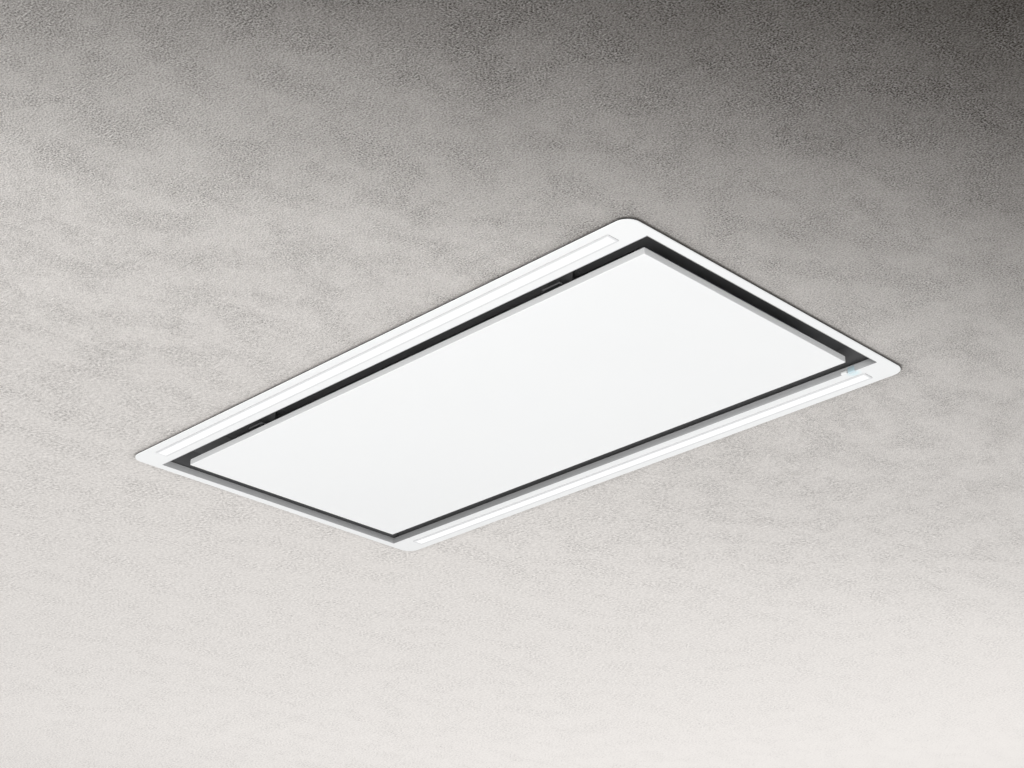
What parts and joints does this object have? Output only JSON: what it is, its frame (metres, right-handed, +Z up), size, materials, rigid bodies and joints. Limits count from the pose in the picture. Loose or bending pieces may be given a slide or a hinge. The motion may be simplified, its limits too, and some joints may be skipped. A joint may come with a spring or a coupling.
{
  "type": "ceiling range hood",
  "caption": "Flush ceiling range hood: a trim frame with light strips round a hinged cover panel with an edge suction slot, mesh filters, an inline blower and a round duct outlet above.",
  "frame": {"origin": "centre of the ceiling cut-out, on the ceiling's underside, where the gasket seals", "axes": "+X along the hood's length towards the status light's end, +Y towards the panel's hinge side, +Z up"},
  "size_m": [1, 0.57, 0.3642],
  "materials": {
    "frame_paint": "satin white stoved paint",
    "panel_paint": "satin white stoved paint",
    "return_paint": "satin grey stoved paint",
    "black_paint": "matt black paint",
    "foam": "closed-cell foam",
    "zinc_sheet": "galvanised sheet",
    "bracket_steel": "zinc-plated steel",
    "aluminium": "mill finish",
    "mesh": "expanded mesh",
    "opal": "opal acrylic",
    "white_plastic": "moulded",
    "status_clear": "clear tinted",
    "black_plastic": "moulded",
    "grey_plastic": "moulded",
    "board_green": "circuit board",
    "board_white": "circuit board with white mask",
    "spring_steel": "spring steel",
    "magnet": "nickel-plated magnet",
    "bronze": "sintered bronze",
    "motor_paint": "black enamel",
    "rubber": "moulded",
    "cream_plastic": "moulded"
  },
  "bodies": {
    "hood": {"cable_gland": "black_plastic", "cable_plate": "zinc_sheet", "capacitor": "cream_plastic", "capacitor_clip": "bracket_steel", "casing_end_left": "zinc_sheet", "casing_end_right": "zinc_sheet", "casing_side_back": "zinc_sheet", "casing_side_front": "zinc_sheet", "casing_top": "zinc_sheet", "catch_brackets": "black_paint", "catch_magnets": "magnet", "ceiling_gasket": "foam", "chamber_skirt": "black_paint", "control_board": "board_green", "control_box": "zinc_sheet", "control_cover": "zinc_sheet", "duct_collar": "grey_plastic", "end_deflectors": "black_paint", "filter_deck": "black_paint", "filter_frame_left": "aluminium", "filter_frame_right": "aluminium", "flap_insert": "grey_plastic", "frame_clips": "bracket_steel", "hanger_rails": "zinc_sheet", "hinge_brackets": "bracket_steel", "hinge_pins": "bracket_steel", "latch_cup_left": "grey_plastic", "latch_cup_right": "grey_plastic", "latch_spring_left": "spring_steel", "latch_spring_right": "spring_steel", "light_boards": "board_white", "light_channel_back": "aluminium", "light_channel_front": "aluminium", "light_cover_back": "opal", "light_cover_front": "opal", "light_driver": "white_plastic", "mesh_pad_left": "mesh", "mesh_pad_right": "mesh", "motor": "motor_paint", "motor_bushes": "bronze", "motor_grommets": "rubber", "motor_spider": "bracket_steel", "receiver_window": "white_plastic", "return_frame": "return_paint", "scroll_sides": "zinc_sheet", "scroll_wrap": "zinc_sheet", "sensor_board": "board_green", "sensor_housing": "black_plastic", "status_lens": "status_clear", "terminal_block": "cream_plastic", "trim_frame": "frame_paint"},
    "panel": {"cover_panel": "panel_paint", "panel_stiffeners": "panel_paint", "hinge_arms": "bracket_steel"},
    "wheel": {"impeller": "zinc_sheet", "motor_shaft": "bracket_steel"},
    "flap_front": {"flap_front": "grey_plastic"},
    "flap_back": {"flap_back": "grey_plastic"},
    "latch_left": {"latch_slider_left": "grey_plastic"},
    "latch_right": {"latch_slider_right": "grey_plastic"}
  },
  "joints": [
    {"name": "panel_hinge", "type": "hinge", "parent": "hood", "child": "panel", "pos_m": [0, 0.19, 0.02], "axis": [1, 0, 0], "range_deg": [0, 90]},
    {"name": "wheel_spin", "type": "hinge", "parent": "hood", "child": "wheel", "pos_m": [0, 0.04883, 0.175], "axis": [-1, 0, 0], "continuous": true},
    {"name": "flap_front_hinge", "type": "hinge", "parent": "hood", "child": "flap_front", "pos_m": [0, -0.0045, 0.311], "axis": [-1, 0, 0], "range_deg": [0, 75]},
    {"name": "flap_back_hinge", "type": "hinge", "parent": "hood", "child": "flap_back", "pos_m": [0, 0.0045, 0.311], "axis": [1, 0, 0], "range_deg": [0, 75]},
    {"name": "latch_left_slide", "type": "slide", "parent": "hood", "child": "latch_left", "axis": [0, 1, 0], "range_m": [0, 0.007], "stiffness_N_per_m": 300, "springref_m": -0.004, "deforming": ["latch_spring_left"]},
    {"name": "latch_right_slide", "type": "slide", "parent": "hood", "child": "latch_right", "axis": [0, 1, 0], "range_m": [0, 0.007], "stiffness_N_per_m": 300, "springref_m": -0.004, "deforming": ["latch_spring_right"]}
  ]
}
